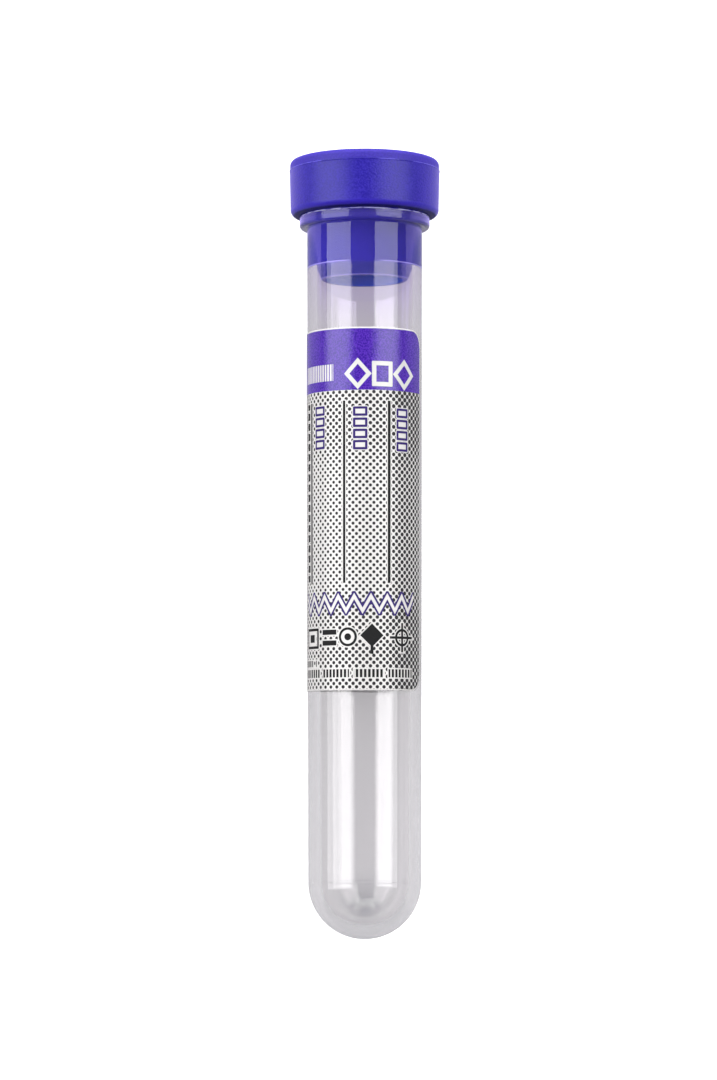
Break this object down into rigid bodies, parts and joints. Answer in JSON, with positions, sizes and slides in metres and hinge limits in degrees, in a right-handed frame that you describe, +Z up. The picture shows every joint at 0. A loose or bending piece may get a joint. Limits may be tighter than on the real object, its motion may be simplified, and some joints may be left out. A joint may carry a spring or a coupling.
{
  "type": "blood collection tube",
  "caption": "Round-bottomed clear plastic sample tube with a flanged mouth, a violet push-in stopper and a wrapped film label; it lies on its side.",
  "frame": {"origin": "on the bench, under the middle of the lying tube's overall box", "axes": "+Y along the tube towards the stopper, with the tube's own axis rising 1.6 degrees towards it; +Z up, away from the bench, through the printed face; +X to the right"},
  "size_m": [0.0158, 0.081, 0.0157],
  "materials": {
    "clear_tube": "gloss",
    "violet_stopper": "satin",
    "film_label": "satin"
  },
  "bodies": {
    "tube_body": {"tube": "clear_tube", "label": "film_label"},
    "stopper_body": {"stopper": "violet_stopper"}
  },
  "joints": [
    {"name": "stopper_pull", "type": "slide", "parent": "tube_body", "child": "stopper_body", "axis": [0, 0.9996, 0.0274], "range_m": [0, 0.02]}
  ]
}
